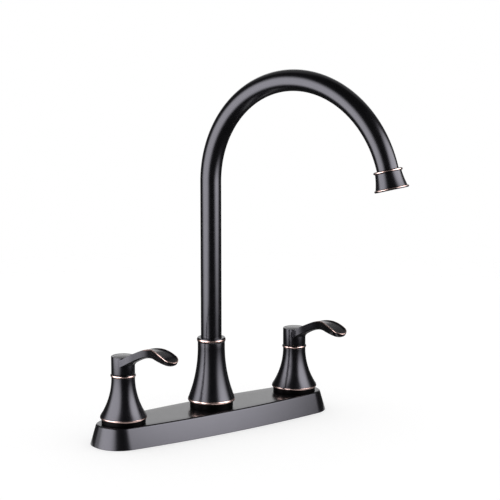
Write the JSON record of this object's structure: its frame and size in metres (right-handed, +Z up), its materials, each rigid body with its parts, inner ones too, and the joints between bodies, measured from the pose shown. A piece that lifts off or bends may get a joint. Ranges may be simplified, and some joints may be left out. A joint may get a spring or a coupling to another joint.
{
  "type": "two handle kitchen faucet",
  "caption": "Centre-set deck kitchen faucet: high swivel gooseneck spout on a flared bell, with a quarter-turn S-lever valve each side.",
  "frame": {"origin": "middle of the deck plate's underside, on the sink deck, under the spout's axis", "axes": "+Z up along the spout's axis, -Y towards the user, +X to the user's right handle"},
  "size_m": [0.265, 0.2425, 0.4002],
  "materials": {
    "satin_bronze": "near-black oil-rubbed bronze, satin",
    "rubbed_bronze": "bronze rubbed back to bright copper on the crest",
    "brass": "turned",
    "copper_tube": "drawn",
    "white_ceramic": "lapped",
    "black_rubber": "matt",
    "white_acetal": "moulded",
    "black_plastic": "moulded",
    "stainless": "machined"
  },
  "bodies": {
    "base": {"deck_plate": "satin_bronze", "glide_ring": "white_acetal", "left_base_flange": "satin_bronze", "left_bell": "satin_bronze", "left_bell_ring": "rubbed_bronze", "left_cartridge_body": "brass", "left_crossover_tube": "copper_tube", "left_fixed_disc": "white_ceramic", "left_seat_washer": "black_rubber", "left_valve_body": "brass", "mounting_nuts": "black_plastic", "putty_plate": "black_plastic", "right_base_flange": "satin_bronze", "right_bell": "satin_bronze", "right_bell_ring": "rubbed_bronze", "right_cartridge_body": "brass", "right_crossover_tube": "copper_tube", "right_fixed_disc": "white_ceramic", "right_seat_washer": "black_rubber", "right_valve_body": "brass", "shank_washers": "black_rubber", "spout_base_flange": "satin_bronze", "spout_bell": "satin_bronze", "spout_collar": "rubbed_bronze", "spout_post": "brass", "thrust_washer": "white_acetal"},
    "left_handle": {"left_lever_handle": "satin_bronze", "left_hub_cap": "satin_bronze", "left_handle_screw": "stainless", "left_valve_stem": "brass", "left_moving_disc": "white_ceramic"},
    "right_handle": {"right_lever_handle": "satin_bronze", "right_hub_cap": "satin_bronze", "right_handle_screw": "stainless", "right_valve_stem": "brass", "right_moving_disc": "white_ceramic"},
    "spout": {"spout_tube": "satin_bronze", "swivel_nipple": "brass", "nipple_o_rings": "black_rubber", "outlet_bell": "satin_bronze", "aerator_washer": "black_rubber", "aerator_shell": "satin_bronze", "aerator_insert": "white_acetal"}
  },
  "joints": [
    {"name": "left_handle_turn", "type": "hinge", "parent": "base", "child": "left_handle", "pos_m": [-0.1016, 0, 0.07], "axis": [0, 0, 1], "range_deg": [-90, 0]},
    {"name": "right_handle_turn", "type": "hinge", "parent": "base", "child": "right_handle", "pos_m": [0.1016, 0, 0.07], "axis": [0, 0, 1], "range_deg": [0, 90]},
    {"name": "spout_swivel", "type": "hinge", "parent": "base", "child": "spout", "pos_m": [0, 0, 0.075], "axis": [0, 0, 1], "continuous": true}
  ]
}
